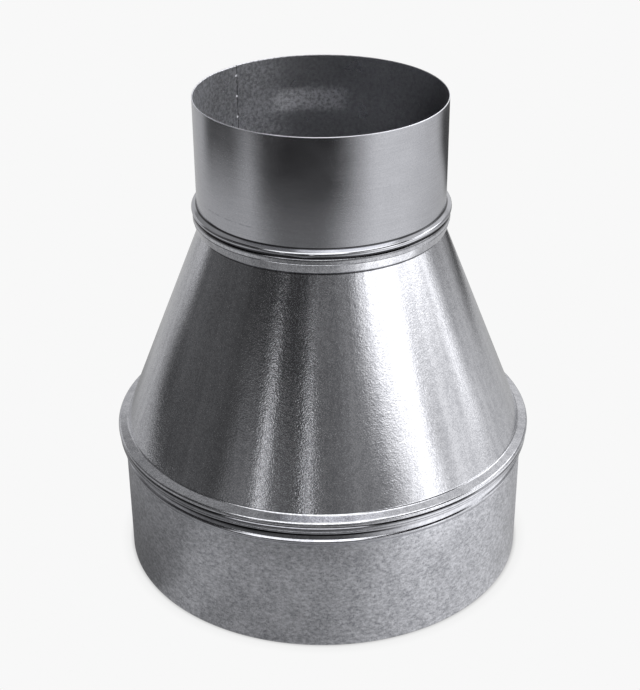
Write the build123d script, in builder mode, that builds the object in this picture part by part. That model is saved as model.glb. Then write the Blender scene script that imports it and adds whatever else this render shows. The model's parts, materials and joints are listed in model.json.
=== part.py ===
from build123d import *
from math import radians, tan
import os

# A duct reducer of galvanised sheet steel, stood on its large end with the duct's axis on Z.
# A small collar, a cone and a large collar are rolled up separately and held by two rolled lock seams.
# At each seam the sheet above ends in a ledge, a lip and a curl, which close round a hem on the sheet below.

# Driving dimensions, in millimetres and degrees
sheet = 0.6                    # thickness of the steel
small_outside_d = 148.0        # spigot, to enter a duct of 150
large_inside_d = 250.4         # socket, to take a pipe of 250
small_collar_length = 64.6     # from the small rim down to the ledge of the upper seam
cone_height = 126.6            # from the crease above the lower seam up to the neck
neck_inset = 0.8               # neck of the cone inside the face of the small collar
base_inset = 2.3               # base of the cone inside the face of the large collar
socket_depth = 72.4            # from the large rim up to the stop bead

# Stop bead of the large collar, and the groove between it and the lower seam
bead_projection = 1.5
bead_rise = 2.5                # from the foot of the bead up to its crest
groove_rise = 4.8              # from the crest up to the bottom of the groove

# Lock seams
upper_rim_step = 1.9           # face of the cone's rim outside the face of the small collar
lower_rim_step = 2.5           # face of the large collar's rim outside its wall
upper_step_height = 1.8
lower_step_height = 2.5
upper_band = 10.3              # rim that shows below the lip of the upper seam
lower_band = 4.7               # rim that shows below the lip of the lower seam
lip_height = 3.0
ledge_fall = 12.0              # slope of the ledges, in degrees
lock_gap = 0.1                 # clearance between the two sheets of a seam

# Side seams, where each rolled sheet laps over itself
lap_width = 10.0
cone_lap_angle = 6.0
lap_end = 4.0                  # plain sheet between a lap and the bends above or below it
small_seam_angle = 138.0
cone_seam_angle = 90.0
large_seam_angle = 62.0

# Radii of the outside faces
small_r = small_outside_d / 2
large_r = large_inside_d / 2 + sheet
neck_r = small_r - neck_inset
base_r = large_r - base_inset
upper_rim_r = small_r + upper_rim_step
lower_rim_r = large_r + lower_rim_step
lip_offset = 2 * sheet + lock_gap

# Heights, from the large rim up
bead_crest = socket_depth + bead_rise
groove = bead_crest + groove_rise
lower_step_top = groove + lower_step_height
lower_lip_low = lower_step_top + lower_band
lower_ledge = lower_lip_low + lip_height
crease = lower_ledge + (lower_rim_r + lip_offset - base_r) * tan(radians(ledge_fall))
neck = crease + cone_height
upper_step_top = neck + upper_step_height
upper_lip_low = upper_step_top + upper_band
upper_ledge = upper_lip_low + lip_height
ledge_root = upper_ledge + (upper_rim_r + lip_offset - small_r) * tan(radians(ledge_fall))
small_rim = ledge_root + small_collar_length


def lip_and_curl(rim_r, lip_low):
    """Corners of the outside face of a lip that closes round the rim, from its ledge to the end of its curl."""
    lip_r = rim_r + lip_offset
    return [(lip_r, lip_low + lip_height), (lip_r, lip_low), (rim_r + lock_gap, lip_low)]


def hem_top(lip_low):
    """Height of a hem's fold, just under the ledge that covers it."""
    return lip_low + lip_height - sheet - lock_gap


def hem(rim_r, lip_low):
    """Fold the edge of a rim back down its outside, in the space above the curl."""
    low = lip_low + sheet + lock_gap
    with Locations((rim_r, low)):
        Rectangle(sheet, hem_top(lip_low) - low, align=(Align.MIN, Align.MIN))


# Lap inside the small collar, where the inner layer is stepped in and spot welded
with BuildPart() as small_lap:
    with BuildSketch(Plane.XY.offset(ledge_root + lap_end)):
        Circle(small_r - sheet)
        Circle(small_r - 2 * sheet, mode=Mode.SUBTRACT)
        with PolarLocations(small_r, 1, start_angle=small_seam_angle):
            Rectangle(lap_width, lap_width, mode=Mode.INTERSECT)
    extrude(amount=small_collar_length - lap_end)

# Small collar, a plain spigot with the ledge, lip and curl of the upper seam at its foot
with BuildPart() as small_collar:
    with BuildSketch(Plane.XZ):
        with BuildLine():
            Polyline(
                (small_r, small_rim),
                (small_r, ledge_root),
                *lip_and_curl(upper_rim_r, upper_lip_low),
            )
            offset(amount=sheet, side=Side.RIGHT, kind=Kind.INTERSECTION)
        make_face()
    revolve(axis=Axis.Z)
    add(small_lap.part)

# Lap up the back of the cone, where the ends of its curved blank overlap by a few degrees
with BuildPart() as cone_lap:
    with BuildSketch(Plane.XZ.rotated((0, 0, cone_seam_angle - cone_lap_angle / 2))):
        with BuildLine():
            generator = Line((base_r, crease), (neck_r, neck), mode=Mode.PRIVATE)
            end = lap_end / generator.length
            Line(generator @ end, generator @ (1 - end))
            offset(amount=sheet, side=Side.RIGHT)
        make_face()
    revolve(axis=Axis.Z, revolution_arc=cone_lap_angle)

# Cone, with a hemmed rim above its neck and the ledge, lip and curl of the lower seam round its base
with BuildPart() as cone:
    with BuildSketch(Plane.XZ):
        with BuildLine():
            Polyline(
                (upper_rim_r, hem_top(upper_lip_low)),
                (upper_rim_r, upper_step_top),
                (neck_r, neck),
                (base_r, crease),
                *lip_and_curl(lower_rim_r, lower_lip_low),
            )
            offset(amount=sheet, side=Side.RIGHT, kind=Kind.INTERSECTION)
        make_face()
        hem(upper_rim_r, upper_lip_low)
    revolve(axis=Axis.Z)
    add(cone_lap.part)

# Lap outside the large collar, so that its socket stays round
with BuildPart() as large_lap:
    with BuildSketch():
        Circle(large_r + sheet)
        Circle(large_r, mode=Mode.SUBTRACT)
        with PolarLocations(large_r, 1, start_angle=large_seam_angle):
            Rectangle(lap_width, lap_width, mode=Mode.INTERSECT)
    extrude(amount=socket_depth - lap_end)

# Large collar, a socket with a stop bead and, above it, the hemmed rim of the lower seam
with BuildPart() as large_collar:
    with BuildSketch(Plane.XZ):
        with BuildLine():
            Polyline(
                (large_r, 0),
                (large_r, socket_depth),
                (large_r + bead_projection, bead_crest),
                (large_r, groove),
                (lower_rim_r, lower_step_top),
                (lower_rim_r, hem_top(lower_lip_low)),
            )
            offset(amount=sheet, side=Side.LEFT, kind=Kind.INTERSECTION)
        make_face()
        hem(lower_rim_r, lower_lip_low)
    revolve(axis=Axis.Z)
    add(large_lap.part)

os.makedirs("parts", exist_ok=True)
small_collar.part.label = "small_collar"
cone.part.label = "cone"
large_collar.part.label = "large_collar"
export_step(small_collar.part, "parts/small_collar.step")
export_step(cone.part, "parts/cone.step")
export_step(large_collar.part, "parts/large_collar.step")
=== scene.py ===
import json
from math import cos, degrees, pi, radians, sin, tan

import bpy
import numpy as np
from mathutils import Matrix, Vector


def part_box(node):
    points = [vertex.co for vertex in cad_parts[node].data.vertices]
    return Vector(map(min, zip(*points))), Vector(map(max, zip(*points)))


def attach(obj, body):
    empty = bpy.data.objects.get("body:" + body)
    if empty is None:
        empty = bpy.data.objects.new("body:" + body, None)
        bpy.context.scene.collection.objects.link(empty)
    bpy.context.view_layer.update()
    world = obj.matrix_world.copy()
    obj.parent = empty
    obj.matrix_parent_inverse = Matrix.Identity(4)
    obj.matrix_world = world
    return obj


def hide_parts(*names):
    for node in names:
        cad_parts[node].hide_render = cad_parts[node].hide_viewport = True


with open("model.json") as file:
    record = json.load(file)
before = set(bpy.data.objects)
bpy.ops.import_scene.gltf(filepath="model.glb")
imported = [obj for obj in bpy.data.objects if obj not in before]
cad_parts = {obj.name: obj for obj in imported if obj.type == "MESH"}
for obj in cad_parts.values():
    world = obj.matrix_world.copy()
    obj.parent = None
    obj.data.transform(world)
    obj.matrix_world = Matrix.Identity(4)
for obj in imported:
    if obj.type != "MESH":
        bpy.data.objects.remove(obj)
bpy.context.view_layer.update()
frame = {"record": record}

# Small collar: a strip of galvanised sheet steel rolled into the spigot that a duct is pushed over.
# Its ends lap inside and are spot welded. Its foot is spun out into a ledge, turned down into a lip
# and curled in under the cone's hem, which makes the upper lock seam.
mounts = {mount["name"]: mount["dims"] for mount in frame["record"]["mounts"] if mount["dims"]}
spigot_r = mounts["small_spigot"]["r_mm"] / 1000
spigot_low, spigot_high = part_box("small_collar")
sheet = 0.0006
lock_gap = 0.0001
lip_height = 0.003
ledge_slope = tan(radians(12))
shoulder_drop = 0.0009
ledge_bend = 0.0015
root_bend = 0.0001
curl_bend = 0.0008
tight_bend = 0.0003
lip_waver = 0.00007
lip_dip = 0.0006
dip_angle = radians(262.5)
dip_spread = radians(4)
lap_width = 0.010
lap_end = 0.004
lap_ease = 0.0004
raw_edge_run = 0.00012
spigot_seam = radians(138)
weld_pitch = 0.013
weld_r = 0.001
oval_depth = 0.00011
broad_ripple = 0.000025
fine_ripple = 0.000015
around = 480
longest_run = 0.008
edge_run = 0.0003
crisp_angle = radians(40)
scribe_up = 0.0083
scribe_width = 0.0004
# Where the painted reflection lies inside the small collar: a paler patch high on the back.
reflected_light_left = -0.022
reflected_light_right = 0.008
reflected_light_low = 0.266
reflected_light_high = 0.274
# Where the painted shade inside the small collar begins and where it is full, going across to the right.
side_shade_from = -0.036
side_shade_full = -0.014
brushing_depth = 0.00001
smooth_zinc = (0.58, 0.585, 0.622)
smooth_zinc_dark = (0.40, 0.405, 0.432)
# Black for the painted shade in seams, creases and recesses, and for stains.
shade_and_stain_black = (0.015, 0.015, 0.017)


def unit(vector):
    """The same direction with a length of one."""
    return vector / np.linalg.norm(vector)


def bent(corners, bends):
    """A sheet's face in section: straight runs between corners, with a bend of its own radius at each."""
    corners = np.array(corners)
    face = [corners[0]]
    for before, corner, after, bend in zip(corners, corners[1:], corners[2:], bends):
        along = unit(corner - before)
        away = unit(after - corner)
        turn = np.arccos(np.clip(along @ away, -1, 1))
        across = unit(away - along * cos(turn))
        start = corner - along * bend * tan(turn / 2)
        for step in np.linspace(0, turn, 3 if bend < tight_bend else 7):
            face.append(start + bend * (sin(step) * along + (1 - cos(step)) * across))
    face.append(corners[-1])
    fine = [face[0]]
    for low, high in zip(face, face[1:]):
        length = np.linalg.norm(high - low)
        stops = list(np.linspace(0, length, int(np.ceil(length / longest_run)) + 1)[1:])
        if length > 4 * edge_run:
            stops = [edge_run, *stops[:-1], length - edge_run, length]
        fine += [low + (high - low) * stop / length for stop in stops]
    return np.array(fine)


def facing(outline, closed=False):
    """Unit normals on the left of an outline, point by point."""
    ahead = np.roll(outline, -1, 0)
    behind = np.roll(outline, 1, 0)
    if not closed:
        ahead[-1] = outline[-1]
        behind[0] = outline[0]
    way = ahead - behind
    left = np.column_stack([-way[:, 1], way[:, 0]])
    return left / np.linalg.norm(left, axis=1, keepdims=True)


def round_edge(start, end):
    """A half round from one face to the other: the eased cut edge or the fold of a sheet."""
    middle = (start + end) / 2
    reach = (start - end) / 2
    out = np.array([reach[1], -reach[0]])
    return np.array([middle + reach * cos(a) + out * sin(a) for a in np.linspace(0, pi, 7)[1:-1]])


def columns(seam, half_lap, run):
    """Angles round the axis, evenly spaced, with two more close together at the raw edge of a side seam."""
    raw = seam - half_lap
    return np.unique(np.concatenate([np.linspace(0, 2 * pi, around, endpoint=False), [raw - run, raw]]))


def over_seam(turns, seam, half_lap, run):
    """1 over a lap and 0 away from it, with a steep raw edge on one side and an easy set on the other."""
    past = (turns - seam + pi) % (2 * pi) - pi
    return np.interp(past, [-half_lap - run, -half_lap, half_lap, 3 * half_lap], [0, 1, 1, 0])


def out_of_round(turns, height):
    """How far the sheet falls inside a true circle, alike for every piece, so that the seams stay closed."""
    share = np.clip(height / spigot_high.z, 0, 1)
    oval = oval_depth * (np.cos(2 * turns + 0.6) - 1) * (1 - 0.5 * share)
    ripple = broad_ripple * np.cos(5 * turns + 9 * share) + fine_ripple * np.cos(9 * turns - 7 * share + 1.3)
    return oval + ripple - (broad_ripple + fine_ripple)


def rolled_sheet(name, section, turns, moves):
    """Carry a closed section round the axis, with each point moved out and up by its own small step."""
    out, height = np.moveaxis(section + moves, -1, 0)
    turns = turns[:, None]
    out = out + out_of_round(turns, height)
    points = np.stack([out * np.cos(turns), out * np.sin(turns), height], axis=-1)
    here = np.arange(points.shape[0] * points.shape[1]).reshape(points.shape[:2])
    below = np.roll(here, -1, 1)
    beside = np.roll(here, -1, 0)
    quads = np.stack([here, below, np.roll(beside, -1, 1), beside], axis=-1)
    mesh = bpy.data.meshes.new(name)
    mesh.from_pydata(points.reshape(-1, 3).tolist(), [], quads.reshape(-1, 4).tolist())
    mesh.shade_smooth()
    mesh.set_sharp_from_angle(angle=crisp_angle)
    piece = bpy.data.objects.new(name, mesh)
    bpy.context.scene.collection.objects.link(piece)
    return piece


class Wire:
    """An output in a node tree. Sums on wires add Math nodes, and add() makes any other node."""

    def __init__(self, tree, socket=None):
        self.tree = tree
        self.socket = socket

    def add(self, kind, settings=None, output=0, **inputs):
        """A new node: first its settings, then the values or wires of its inputs. It gives one output."""
        node = self.tree.nodes.new("ShaderNode" + kind)
        for setting, value in (settings or {}).items():
            setattr(node, setting, value)
        for name, value in inputs.items():
            name = name.replace("_", " ").title()
            open_sockets = [s for s in node.inputs if s.enabled and s.name == name]
            for socket, part in zip(open_sockets, value if isinstance(value, list) else [value]):
                if isinstance(part, Wire):
                    self.tree.links.new(part.socket, socket)
                elif socket.type == "RGBA" and len(part) == 3:
                    socket.default_value = (*part, 1)
                else:
                    socket.default_value = part
        return Wire(self.tree, node.outputs[output]) if node.outputs else None

    def math(self, operation, *values):
        """One Math node on this wire and any other values."""
        return self.add("Math", {"operation": operation}, value=[self, *values])

    def __add__(self, other):
        return self.math("ADD", other)

    def __sub__(self, other):
        return self.math("SUBTRACT", other)

    def __rsub__(self, other):
        return self.math("MULTIPLY_ADD", -1, other)

    def __mul__(self, other):
        return self.math("MULTIPLY", other)

    def __truediv__(self, other):
        return self.math("DIVIDE", other)

    __radd__ = __add__
    __rmul__ = __mul__

    def step(self, low, high, from_level=0, to_level=1):
        """A smooth change from one level to another as the wire goes from low to high."""
        settings = {"interpolation_type": "SMOOTHSTEP"}
        return self.add("MapRange", settings, value=self, from_min=low, from_max=high,
                        to_min=from_level, to_max=to_level)

    def within(self, low, high, soft):
        """1 between low and high, fading to 0 over a soft edge outside them."""
        return self.step(low - soft, low) * self.step(high, high + soft, 1, 0)


class Place:
    """A point of the surface: where it lies, its degrees from the front, and patterns set by its place."""

    def __init__(self, tree):
        self.point = Wire(tree).add("TexCoord", output=3)
        split = self.point.add("SeparateXYZ", vector=self.point).socket.node.outputs
        self.x, self.y, self.z = (Wire(tree, socket) for socket in split)
        self.angle = self.y.math("ARCTAN2", self.x)
        self.front = self.x.math("ARCTAN2", 0 - self.y) * degrees(1)
        self.radius = (self.x * self.x + self.y * self.y).math("SQRT")

    def noise(self, scale, detail=3, rough=0.55, vector=None):
        """Cloudy noise, from about -0.5 to 0.5, with that many blobs to the metre."""
        vector = vector or self.point
        return self.point.add("TexNoise", vector=vector, scale=scale, detail=detail, roughness=rough) - 0.5

    def drawn_out(self, girth_scale, height_scale):
        """Noise stretched along the sheet: so many blobs to a full turn and to a metre of height."""
        ring = self.point.add("CombineXYZ", x=self.x / self.radius * girth_scale,
                              y=self.y / self.radius * girth_scale, z=self.z * height_scale)
        return self.noise(1, 3, 0.5, ring)

    def band(self, low, high, soft=0.0002):
        """1 between two heights."""
        return self.z.within(low, high, soft)

    def mark(self, degrees_round, low, high, width):
        """A thin line up the sheet at so many degrees from the front, fading at both ends."""
        across = (self.front - degrees_round) * self.radius * radians(1)
        return across.within(-width / 2, width / 2, width / 2) * self.band(low, high, 0.004)


def finish(name):
    """A new finish, with nothing in its node tree yet."""
    material = bpy.data.materials.new(name)
    material.use_nodes = True
    material.node_tree.nodes.clear()
    return material


def paint_zinc(light, dark, tone, shade_and_stains, roughness, relief, relief_depth, metallic=1.0):
    """Zinc-coated steel: its tone runs from dark to light, and painted shade in the seams and recesses, with
    any stains, blackens it.
    """
    zinc = tone.add("Mix", {"data_type": "RGBA"}, output=2, factor=tone, a=dark, b=light)
    colour = tone.add("Mix", {"data_type": "RGBA"}, output=2, factor=shade_and_stains, a=zinc, b=shade_and_stain_black)
    normal = tone.add("Bump", height=relief, distance=relief_depth, strength=1.0)
    surface = tone.add("BsdfPrincipled", base_color=colour, metallic=metallic, roughness=roughness,
                       normal=normal)
    tone.add("OutputMaterial", surface=surface)


lip_low = spigot_low.z
lip_r = spigot_high.x
upper_rim_r = lip_r - 2 * sheet - lock_gap
ledge = lip_low + lip_height
ledge_root = ledge + (lip_r - spigot_r) * ledge_slope
edge_round = sheet / 2
outside = bent(
    [(spigot_r, spigot_high.z - edge_round), (spigot_r, ledge_root), (lip_r, ledge - shoulder_drop),
     (lip_r, lip_low), (upper_rim_r + lock_gap, lip_low)],
    [root_bend, ledge_bend, curl_bend],
)
inside = (outside - facing(outside) * sheet)[::-1]
rim = round_edge(inside[-1], outside[0])
section = np.concatenate([outside, inside, rim])
half_lap = lap_width / 2 / spigot_r
lap_step = raw_edge_run / spigot_r
turns = columns(spigot_seam, half_lap, lap_step)
lap_foot = ledge_root + lap_end
lap_share = np.concatenate([
    np.zeros(len(outside)),
    np.interp(inside[:, 1], [lap_foot, lap_foot + lap_ease], [0, 1]),
    np.linspace(1, 0, len(rim) + 2)[1:-1],
])
lap = over_seam(turns, spigot_seam, half_lap, lap_step)
moves = sheet * lap[:, None, None] * np.outer(lap_share, (-1, 0))
dip = lip_dip * np.exp(-((turns - dip_angle) / dip_spread) ** 2)
sag = lip_waver * (1 + np.cos(6 * turns + 1)) + dip
low_lip = np.interp(section[:, 1], [lip_low + 1.5 * sheet, lip_low + 3 * sheet], [1, 0])
moves = moves + sag[:, None, None] * np.outer(low_lip, (0, -1))
small_collar = rolled_sheet("small_collar_sheet", section, turns, moves)

material = finish("smooth_galvanised")
place = Place(material.node_tree)
inner_wall = place.radius.step(spigot_r - 0.6 * sheet, spigot_r - 0.4 * sheet, 1, 0)
inside_face = inner_wall * place.z.step(ledge, ledge_root)
cut_edge = place.z.step(spigot_high.z - sheet, spigot_high.z - edge_round)
rolled = place.z.step(ledge_root + sheet, ledge_root)
cloud = place.noise(60)
grain = place.noise(1500, 2)
mottle = place.noise(520, 4)
brushing = place.drawn_out(3, 5200)
past_raw_edge = (place.angle - (spigot_seam - half_lap)) * spigot_r
weld_along = past_raw_edge - 0.6 * weld_r
weld_up = (((place.z - ledge_root) / weld_pitch).math("FRACT") - 0.5) * weld_pitch
weld_reach = (weld_along * weld_along + weld_up * weld_up).math("SQRT")
weld = weld_reach.step(0.5 * weld_r, weld_r, 1, 0) * inside_face
# Painted shade: a dark line along the step at the lap's raw edge inside.
raw_edge = past_raw_edge.within(-0.0005, 0.0002, 0.0003) * inside_face * (1 - weld)
scribe_low = ledge_root + scribe_up
scribe = place.band(scribe_low, scribe_low + scribe_width, 0.0003) * place.front.within(-62, -28, 6)
scribe = scribe * place.noise(300, 1).step(-0.1, 0.1)
# Painted reflection: a paler, less metallic patch high on the back of the inside, standing in for light
# reflected across the bore from the inner wall.
painted_reflected_light = place.x.within(reflected_light_left, reflected_light_right, 0.014) * place.band(reflected_light_low, reflected_light_high, 0.006)
painted_reflected_light = painted_reflected_light * inside_face * place.y.step(0, 0.02)
# Painted shade: the inside from a little left of the middle to the right, which faces away from the softbox,
# is darker and its mottle fainter.
painted_side_shade = place.x.step(side_shade_from, side_shade_full) * inside_face * (1 - painted_reflected_light)
inside_tone = mottle * (4.6 - 2.6 * painted_side_shade) + 2 * grain - 0.45
tone = (0.6 + 0.4 * cloud + 0.9 * brushing + 1.2 * grain + inside_face * inside_tone
        - 0.3 * painted_side_shade + 0.35 * painted_reflected_light + 0.5 * cut_edge + 0.8 * weld - 0.6 * scribe)
# Real blotches inside, with the painted shade of the right side added to them.
blotches = inside_face * mottle.step(0.03, -0.15) * (0.27 - 0.15 * painted_side_shade)
blotches_and_side_shade = (blotches + 0.24 * painted_side_shade) * (1 - weld)
# Painted shade: black in the crease at the ledge's root and under the lip where it curls in.
ledge_root_shade = place.band(ledge_root - 0.0002, ledge_root + 0.0004, 0.0003)
lip_under = place.radius.step(lip_r - 0.0003, lip_r - 0.0007)
under_lip_shade = lip_under * place.z.step(lip_low + 0.0012, lip_low + 0.0008)
shade_and_stains = 0.9 * ledge_root_shade + 0.9 * under_lip_shade + 0.9 * raw_edge + blotches_and_side_shade
roughness = (0.16 + 0.1 * cloud + 0.13 * inside_face + 0.15 * cut_edge) * (1 - 0.35 * rolled)
relief = 0.5 * brushing + 0.5 * grain
metallic = 1 - 0.05 * inside_face - 0.06 * painted_reflected_light - 0.15 * cut_edge - 0.18 * weld
paint_zinc(smooth_zinc, smooth_zinc_dark, tone, shade_and_stains, roughness, relief, brushing_depth, metallic)
small_collar.data.materials.append(material)
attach(small_collar, "root")
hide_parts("small_collar")

# Cone: a curved blank of bright spangled sheet rolled up and lapped at the back.
# Its neck is stepped out into a rim with a hem, which the small collar's curl grips, and a line
# runs round the rim where the roller closed the seam. Its base ends in the lower ledge, lip and curl.
cone_low, cone_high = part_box("cone")
socket_r = mounts["large_socket"]["r_mm"] / 1000
neck_inset = 0.0008
base_inset = 0.0023
neck_z = 0.2178
step_height = 0.0018
fold_bend = 0.0007
band_foot_inset = 0.0007
crease_bend = 0.0018
recess_height = 0.0014
band_swell = 0.0007
band_bends = [0.0002, 0.0007, 0.0001, 0.0001, 0.0001]
roll_line_below_lip = 0.005
roll_line_depth = 0.0002
lower_shoulder_drop = 0.0005
lower_ledge_bend = 0.0018
panel_wave = 0.0003
panel_counts = (19, 31, 44, 67)
cone_seam = radians(90)
cone_half_lap = radians(3)
scratch_marks = [(60, 0.129, 0.141, 0.0004), (61, 0.115, 0.119, 0.0004), (52, 0.142, 0.176, 0.0005)]
pebble_depth = 0.0001
spangled_zinc = (0.66, 0.665, 0.70)
spangled_zinc_dark = (0.44, 0.445, 0.475)


def hemmed(rim_r, top, low):
    """The outside of a rim's hem, from the fold at its top to its raw edge and in to the rim's face."""
    hem_r = rim_r + sheet
    return np.array([(hem_r, top - sheet), (hem_r, (top + low) / 2), (hem_r, low), (rim_r, low)])


def rolled_band(rim_r, recess_low, line):
    """Corners of a rim under its lip: a recess, then a swollen band with the thin line of the roller."""
    band_r = rim_r + band_swell
    return [(rim_r, recess_low), (band_r, recess_low - band_swell), (band_r, line + roll_line_depth),
            (band_r - roll_line_depth, line), (band_r, line - roll_line_depth)]


neck_r = spigot_r - neck_inset
base_r = socket_r + sheet - base_inset
lower_lip_low = cone_low.z
lower_lip_r = cone_high.x
lower_rim_r = lower_lip_r - 2 * sheet - lock_gap
lower_ledge = lower_lip_low + lip_height
crease = lower_ledge + (lower_lip_r - base_r) * ledge_slope
recess_low = lip_low - recess_height
roll_line = lip_low - roll_line_below_lip
hem_low = lip_low + sheet + lock_gap
hem_top = cone_high.z - shoulder_drop
face = bent(
    [(upper_rim_r, hem_top - sheet), *rolled_band(upper_rim_r, recess_low, roll_line),
     (upper_rim_r - band_foot_inset, neck_z + step_height), (neck_r, neck_z), (base_r, crease),
     (lower_lip_r, lower_ledge - lower_shoulder_drop), (lower_lip_r, lower_lip_low),
     (lower_rim_r + lock_gap, lower_lip_low)],
    [*band_bends, fold_bend, root_bend, crease_bend, lower_ledge_bend, curl_bend],
)
inside = (face - facing(face) * sheet)[::-1]
outside = np.concatenate([hemmed(upper_rim_r, hem_top, hem_low), face[face[:, 1] < hem_low - lock_gap]])
fold = round_edge(inside[-1], outside[0])
section = np.concatenate([outside, inside, fold])
turns = columns(cone_seam, cone_half_lap, lap_step)
below_neck = outside[:, 1] < neck_z - lap_end
above_crease = outside[:, 1] > crease + lap_end
wall = below_neck & above_crease & (outside[:, 0] < lower_rim_r)
lap_share = np.concatenate([wall * 1.0, np.zeros(len(inside) + len(fold))])
lap = over_seam(turns, cone_seam, cone_half_lap, lap_step)
moves = sheet * lap[:, None, None] * (facing(section, closed=True) * lap_share[:, None])
up_wall = np.clip((section[:, 1] - crease) / (neck_z - crease), 0, 1)
panels = sum(panel_wave / count * np.cos(count * turns + count) for count in panel_counts)
moves = moves + panels[:, None, None] * np.outer(np.sin(pi * up_wall), (1, 0))
cone = rolled_sheet("cone_sheet", section, turns, moves)

material = finish("spangled_galvanised")
place = Place(material.node_tree)
rolled = place.z.step(crease + 0.001, crease) + place.z.step(neck_z - 0.0002, neck_z + 0.0006)
cloud = place.noise(45)
swell = place.noise(300, 1)
pebble = place.noise(1150, 1)
spangle = place.noise(1300, 1)
streak = place.drawn_out(18, 3)
scratches = sum(place.mark(*scratch) for scratch in scratch_marks)
tone = 0.55 + 0.5 * cloud + swell + 3 * spangle + 1.6 * streak + scratches
# Painted shade: black in the recess under the small collar's lip and fading below it, a grey line in the
# roller's line, and black in the crease at the neck.
shade_and_stains = (0.9 * place.band(recess_low - 0.0003, lip_low)
         + 0.55 * place.band(recess_low - 0.0012, recess_low - 0.0003, 0.0007)
         + 0.25 * place.band(roll_line - roll_line_depth, roll_line + roll_line_depth, 0.0004)
         + 0.8 * place.band(neck_z - 0.0003, neck_z + 0.0003))
roughness = 0.14 + 0.08 * cloud + 0.04 * rolled
relief = (0.6 * pebble + 0.4 * swell) * (1 - 0.85 * rolled)
paint_zinc(spangled_zinc, spangled_zinc_dark, tone, shade_and_stains, roughness, relief, pebble_depth)
cone.data.materials.append(material)
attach(cone, "root")
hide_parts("cone")

# Large collar: a strip of dull galvanised sheet rolled into the socket that takes a pipe, lapped outside
# so that its bore stays round. A bead pressed near its top stops the pipe. Above it the sheet steps out
# into the hemmed rim that the cone's curl grips, which makes the lower lock seam.
collar_low, collar_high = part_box("large_collar")
collar_r = socket_r + sheet
bead_foot = 0.0724
bead_crest = 0.0749
bead_top = 0.0761
bead_reach = 0.0015
groove_z = 0.0797
groove_inset = 0.0006
rim_z = 0.0822
bead_bend = 0.0012
bead_foot_bend = 0.0005
bead_top_bend = 0.0004
groove_bend = 0.0005
lower_recess_height = 0.0009
lower_line_below_lip = 0.0034
collar_seam = radians(62)
mottle_depth = 0.00006
matte_zinc = (0.64, 0.645, 0.685)
matte_zinc_dark = (0.28, 0.285, 0.31)

lower_recess_low = lower_lip_low - lower_recess_height
lower_line = lower_lip_low - lower_line_below_lip
hem_low = lower_lip_low + sheet + lock_gap
hem_top = collar_high.z - lower_shoulder_drop
face = bent(
    [(lower_rim_r, hem_top - sheet), *rolled_band(lower_rim_r, lower_recess_low, lower_line),
     (lower_rim_r + band_swell, rim_z), (collar_r - groove_inset, groove_z), (collar_r, bead_top),
     (collar_r + bead_reach, bead_crest), (collar_r, bead_foot), (collar_r, collar_low.z + edge_round)],
    [*band_bends, fold_bend, groove_bend, bead_top_bend, bead_bend, bead_foot_bend],
)
inside = (face - facing(face) * sheet)[::-1]
outside = np.concatenate([hemmed(lower_rim_r, hem_top, hem_low), face[face[:, 1] < hem_low - lock_gap]])
rim = round_edge(outside[-1], inside[0])
fold = round_edge(inside[-1], outside[0])
section = np.concatenate([outside, rim, inside, fold])
half_lap = lap_width / 2 / collar_r
turns = columns(collar_seam, half_lap, lap_step)
lap_top = bead_foot - lap_end
lap_share = np.concatenate([
    np.interp(outside[:, 1], [lap_top - lap_ease, lap_top], [1, 0]),
    np.linspace(1, 0, len(rim) + 2)[1:-1],
    np.zeros(len(inside) + len(fold)),
])
lap = over_seam(turns, collar_seam, half_lap, lap_step)
moves = sheet * lap[:, None, None] * np.outer(lap_share, (1, 0))
large_collar = rolled_sheet("large_collar_sheet", section, turns, moves)

material = finish("matte_galvanised")
place = Place(material.node_tree)
rolled = place.z.step(bead_foot - 0.001, bead_foot)
cloud = place.noise(70, 4)
mottle = place.drawn_out(45, 560)
grain = place.noise(1300, 2)
specks = place.noise(800, 1).step(0.12, 0.2)
tone = 0.54 + 0.75 * cloud + (1.9 * mottle + 1.6 * grain - 0.45 * specks) * (1 - 0.6 * rolled)
# Painted shade: black in the groove above the bead, fainter on the right, with a wider dark band over it at
# the front left; also black in the recess under the cone's lip, fading below it, and a grey line in the
# roller's line.
groove_shade = place.band(groove_z - 0.001, rim_z - 0.0004, 0.0006)
front_groove_shade = place.band(groove_z - 0.0018, rim_z, 0.0006)
shade_and_stains = (0.9 * place.band(lower_recess_low, lower_lip_low)
         + 0.5 * place.band(lower_recess_low - 0.0009, lower_recess_low, 0.0005)
         + 0.3 * place.band(lower_line - roll_line_depth, lower_line + roll_line_depth, 0.0003)
         + 0.92 * groove_shade * (1 - 0.6 * place.front.within(24, 78, 12))
         + 0.6 * front_groove_shade * place.front.within(-45, -22, 15))
roughness = (0.32 + 0.12 * cloud) * (1 - 0.6 * rolled)
relief = (0.5 * mottle + 0.5 * grain) * (1 - 0.8 * rolled)
paint_zinc(matte_zinc, matte_zinc_dark, tone, shade_and_stains, roughness, relief, mottle_depth)
large_collar.data.materials.append(material)
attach(large_collar, "root")
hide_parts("large_collar")

# Studio: a plain pale floor that runs on as the background, under even soft light.
# The floor glows at the level of the background, with a painted shadow close to the object from ambient
# occlusion, and painted shade inside it.
# A softbox high on the right lights the inside of the small collar, and isn't mirrored in the metal.
background = 0.939
floor_reach = 40
floor_middle = 0.00001
contact_reach = 0.0025
contact_depth = 0.54
shade_reach = 0.009
shade_depth = 0.2
softbox_side = radians(82)
softbox_rise = radians(35)
softbox_reach = 1.3
softbox_size = 0.5
softbox_power = 98


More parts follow.
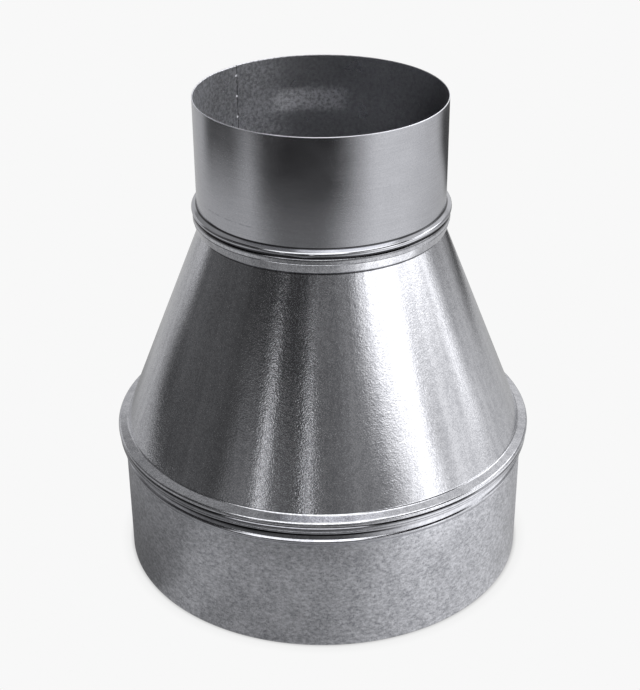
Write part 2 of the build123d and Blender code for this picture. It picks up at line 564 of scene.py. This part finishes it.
def disc(name, rings, sides=96):
    """A flat or dished round sheet, from rings of (radius, height) joined in order."""
    angles = np.linspace(0, 2 * pi, sides, endpoint=False)
    points = [(r * cos(a), r * sin(a), z) for r, z in rings for a in angles]
    faces = []
    for ring in range(len(rings) - 1):
        for i in range(sides):
            here = ring * sides + i
            beside = ring * sides + (i + 1) % sides
            faces.append((here, beside, beside + sides, here + sides))
    mesh = bpy.data.meshes.new(name)
    mesh.from_pydata(points, [], faces)
    thing = bpy.data.objects.new(name, mesh)
    bpy.context.scene.collection.objects.link(thing)
    return thing


floor = disc("floor", [(floor_middle, 0), (floor_reach, 0)])
material = finish("pale_floor")
wire = Wire(material.node_tree)
contact = wire.add("AmbientOcclusion", {"samples": 16}, output=1, distance=contact_reach)
shade = wire.add("AmbientOcclusion", {"samples": 16}, output=1, distance=shade_reach)
from_axis = Place(material.node_tree).radius
under_duct = from_axis.step(collar_r, socket_r)
lit = 1 - under_duct * (0.8 + 0.12 * from_axis.step(0.03, socket_r))
level = background * lit * (1 - contact_depth * (1 - contact) - shade_depth * (1 - shade))
glow = wire.add("Emission", color=level, strength=1.0)
wire.add("OutputMaterial", surface=glow)
floor.data.materials.append(material)

world = bpy.data.worlds.new("studio")
bpy.context.scene.world = world
world.use_nodes = True
world.node_tree.nodes.clear()
wire = Wire(world.node_tree)
sky = wire.add("Background", color=(background, background, background), strength=1.0)
wire.add("OutputWorld", surface=sky)

softbox_data = bpy.data.lights.new("softbox", "AREA")
softbox_data.energy = softbox_power
softbox_data.size = softbox_size
softbox = bpy.data.objects.new("softbox", softbox_data)
bpy.context.scene.collection.objects.link(softbox)
softbox.matrix_world = (
    Matrix.Translation((0, 0, spigot_high.z))
    @ Matrix.Rotation(softbox_side, 4, "Z")
    @ Matrix.Rotation(pi / 2 - softbox_rise, 4, "X")
    @ Matrix.Translation((0, 0, softbox_reach))
)
softbox.visible_camera = False
softbox.visible_glossy = False

# Room: what the metal mirrors, a bench, walls and a ceiling that only reflections see.
# A window stands to the right and a lamp high in front. The left and the front are dark,
# with a few pale strips. Sides are in degrees from the front, positive to the right.
room_reach = 1.6
room_height = 2.4
bench_height = 0.0004
ceiling_middle = 0.001
eye_height = 0.15


def mirrored(name, rings, level_at):
    """A part of the room that glows at the level which a rule gives for each place on it."""
    thing = disc(name, rings)
    thing.visible_camera = False
    thing.visible_shadow = False
    thing.visible_transmission = False
    material = finish(name)
    material.cycles.emission_sampling = "NONE"
    place = Place(material.node_tree)
    glow = place.x.add("Emission", color=level_at(place), strength=1.0)
    glow.add("OutputMaterial", surface=glow)
    thing.data.materials.append(material)


def bench_level(place):
    """Pale on the right and grey on the left, with shades that deepen towards its far edge."""
    side = place.front
    reach = place.radius
    near = (0.29 + 0.19 * side.step(-66, -44) + 0.08 * side.within(-52, -42, 8) + 0.43 * side.step(-2, 38)
            - 0.36 * side.step(62, 108) - 0.26 * side.step(120, 178)
            - 0.12 * side.step(10, -10) * reach.step(0.2, 0.135)
            - 0.2 * side.within(75, 150, 20) * reach.step(0.16, 0.13))
    beyond = 0.53 - 0.31 * side.within(-30, -6, 36) + 0.4 * side.step(2, 52) - 0.4 * side.step(58, 158)
    front_shade = 0.94 * side.step(-66, -46) * side.step(52, 8) * reach.step(0.61, 0.75)
    left_shade = 0.78 * side.within(-108, -86, 24) * reach.step(0.64, 0.82)
    strip_shade = 0.5 * side.within(-112, -60, 12) * reach.step(0.74, 0.86)
    right_edge = side - 18 * reach.step(0.8, 0.64)
    right_depth = 0.87 * reach.step(0.58, 0.66) * reach.step(0.86, 1.0, 1, 0.5)
    right_shade = right_depth * right_edge.step(118, 138) * side.step(179, 158)
    beyond = beyond * (1 - front_shade) * (1 - left_shade) * (1 - strip_shade) * (1 - right_shade)
    beyond = beyond + 0.3 * side.within(70, 98, 16) * reach.step(0.9, 1.1)
    rim_ring = reach.step(0.215, 0.235) * reach.step(0.5, 0.42)
    rim_shade = 0.65 * side.within(-50, 10, 22) * rim_ring
    rim_light = 0.9 * side.within(44, 88, 16) * rim_ring
    return (beyond + (near - beyond) * reach.step(0.45, 0.25)) * (1 - rim_shade) + rim_light


def wall_level(place):
    """The window and the pale strips at the height of the part, the lamp and the back wall above them."""
    side = place.front
    rise = (place.z - eye_height).math("ARCTAN2", place.radius) * degrees(1)
    left = 0.5 * side.step(-113, -123) + 0.05 * side.step(-52, -72) + 0.04 * side.step(-88, -104)
    ahead = 0.12 * side.within(-4, 40, 12) + 0.1 * side.within(14, 40, 8)
    strips = (1.1 * side.within(-34, -32, 1.5) * rise.step(16, 10)
              + 1.5 * side.within(-9.5, -8, 1) * rise.step(15, 11)
              + 0.17 * side.within(-50, -20, 8) * rise.step(14, 4))
    window_edge = side - 15 * rise.step(15, 3)
    window_end = side.step(72, 58) + 0.5 * side.within(64, 88, 10) * rise.step(5, 11)
    window = 2.1 * window_edge.step(20, 45) * window_end
    right_dip = 0.49 * side.step(130, 178) + 0.7 * side.within(118, 130, 24) * rise.step(-10, -1)
    right = (side.step(62, 76) * (1.03 - right_dip)
             + 0.9 * side.within(97, 99, 2) * rise.step(9, 3)
             + 0.4 * side.within(86, 95, 6) * rise.step(2.5, 6.5))
    beside = 0.05 + left + ahead + strips + window + right
    lamp = 2.3 * side.within(-48, 20, 10) * rise.step(27, 31)
    right_lamp = 2.2 * side.within(95, 132, 8) * rise.within(31, 42, 3)
    back = place.y.step(0, 0.7) * place.x.step(-0.7, 0.7, 0.3, 0.8)
    return beside * rise.step(26, 20) + (0.04 + lamp + right_lamp + back) * rise.step(20, 28)


def ceiling_level(place):
    """Pale towards the window and over the lamp, dim on the other side and at the back."""
    over_lamp = place.front.within(-40, 22, 12) * place.radius.step(0.4, 0.8)
    ahead = place.x.step(-0.5, 0.6, 0.3, 2.2) + 1.6 * over_lamp
    back = place.x.step(-0.7, 0.7, 0.3, 0.8)
    return ahead + (back - ahead) * place.y.step(0.45, 0.85)


mirrored("bench", [(collar_r - edge_round, bench_height), (room_reach, bench_height)], bench_level)
mirrored("walls", [(room_reach, bench_height), (room_reach, room_height)], wall_level)
mirrored("ceiling", [(room_reach, room_height), (ceiling_middle, room_height)], ceiling_level)

# Camera: at the height and distance worked out from the photograph, looking down at the reducer.
# Its focal length is in pixels of a picture of this width and height.
picture_width = 640
picture_height = 690
focal_pixels = 1469.8
sensor_width = 36
camera_place = (0, -0.80954, 0.56756)
camera_turn = radians(0.1035)
camera_dip = radians(28.1464)
camera_roll = radians(-0.4309)
camera_data = bpy.data.cameras.new("camera")
camera_data.sensor_width = sensor_width
camera_data.lens = focal_pixels / max(picture_width, picture_height) * sensor_width
camera = bpy.data.objects.new("camera", camera_data)
bpy.context.scene.collection.objects.link(camera)
camera.matrix_world = (
    Matrix.Translation(camera_place)
    @ Matrix.Rotation(camera_turn, 4, "Z")
    @ Matrix.Rotation(pi / 2 - camera_dip, 4, "X")
    @ Matrix.Rotation(camera_roll, 4, "Z")
)
bpy.context.scene.camera = camera
bpy.context.scene.view_settings.view_transform = "Standard"
